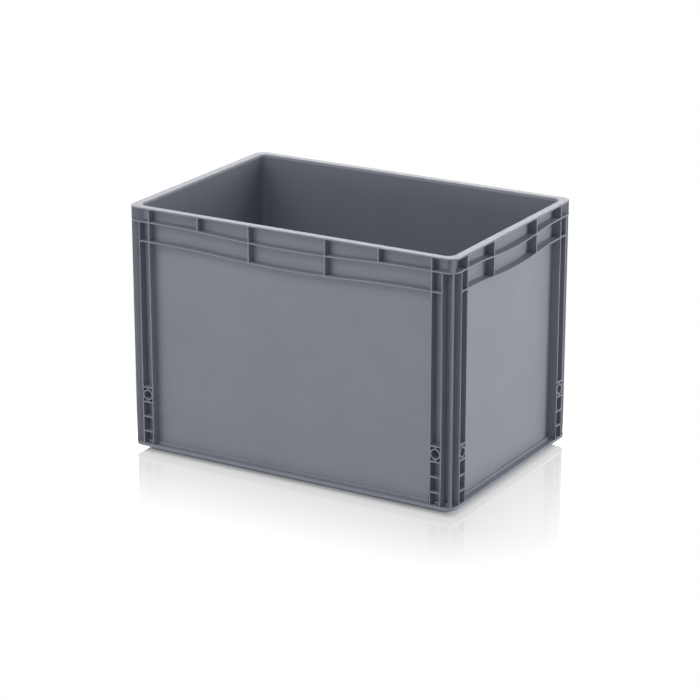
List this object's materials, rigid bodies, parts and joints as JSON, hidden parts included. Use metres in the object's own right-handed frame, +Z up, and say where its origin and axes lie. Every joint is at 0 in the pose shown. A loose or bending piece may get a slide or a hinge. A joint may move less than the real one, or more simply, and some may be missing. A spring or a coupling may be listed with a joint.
{
  "type": "stacking container",
  "caption": "Open-topped rectangular stacking container with closed ribbed walls, a flat rim and an inset stacking foot.",
  "frame": {"origin": "centre of the footprint, on the floor", "axes": "+X along the long side, +Y along the short side, +Z up, out of the open top"},
  "size_m": [0.6, 0.4, 0.42],
  "materials": {
    "container_plastic": "satin"
  },
  "bodies": {
    "root": {"container": "container_plastic"}
  },
  "joints": []
}
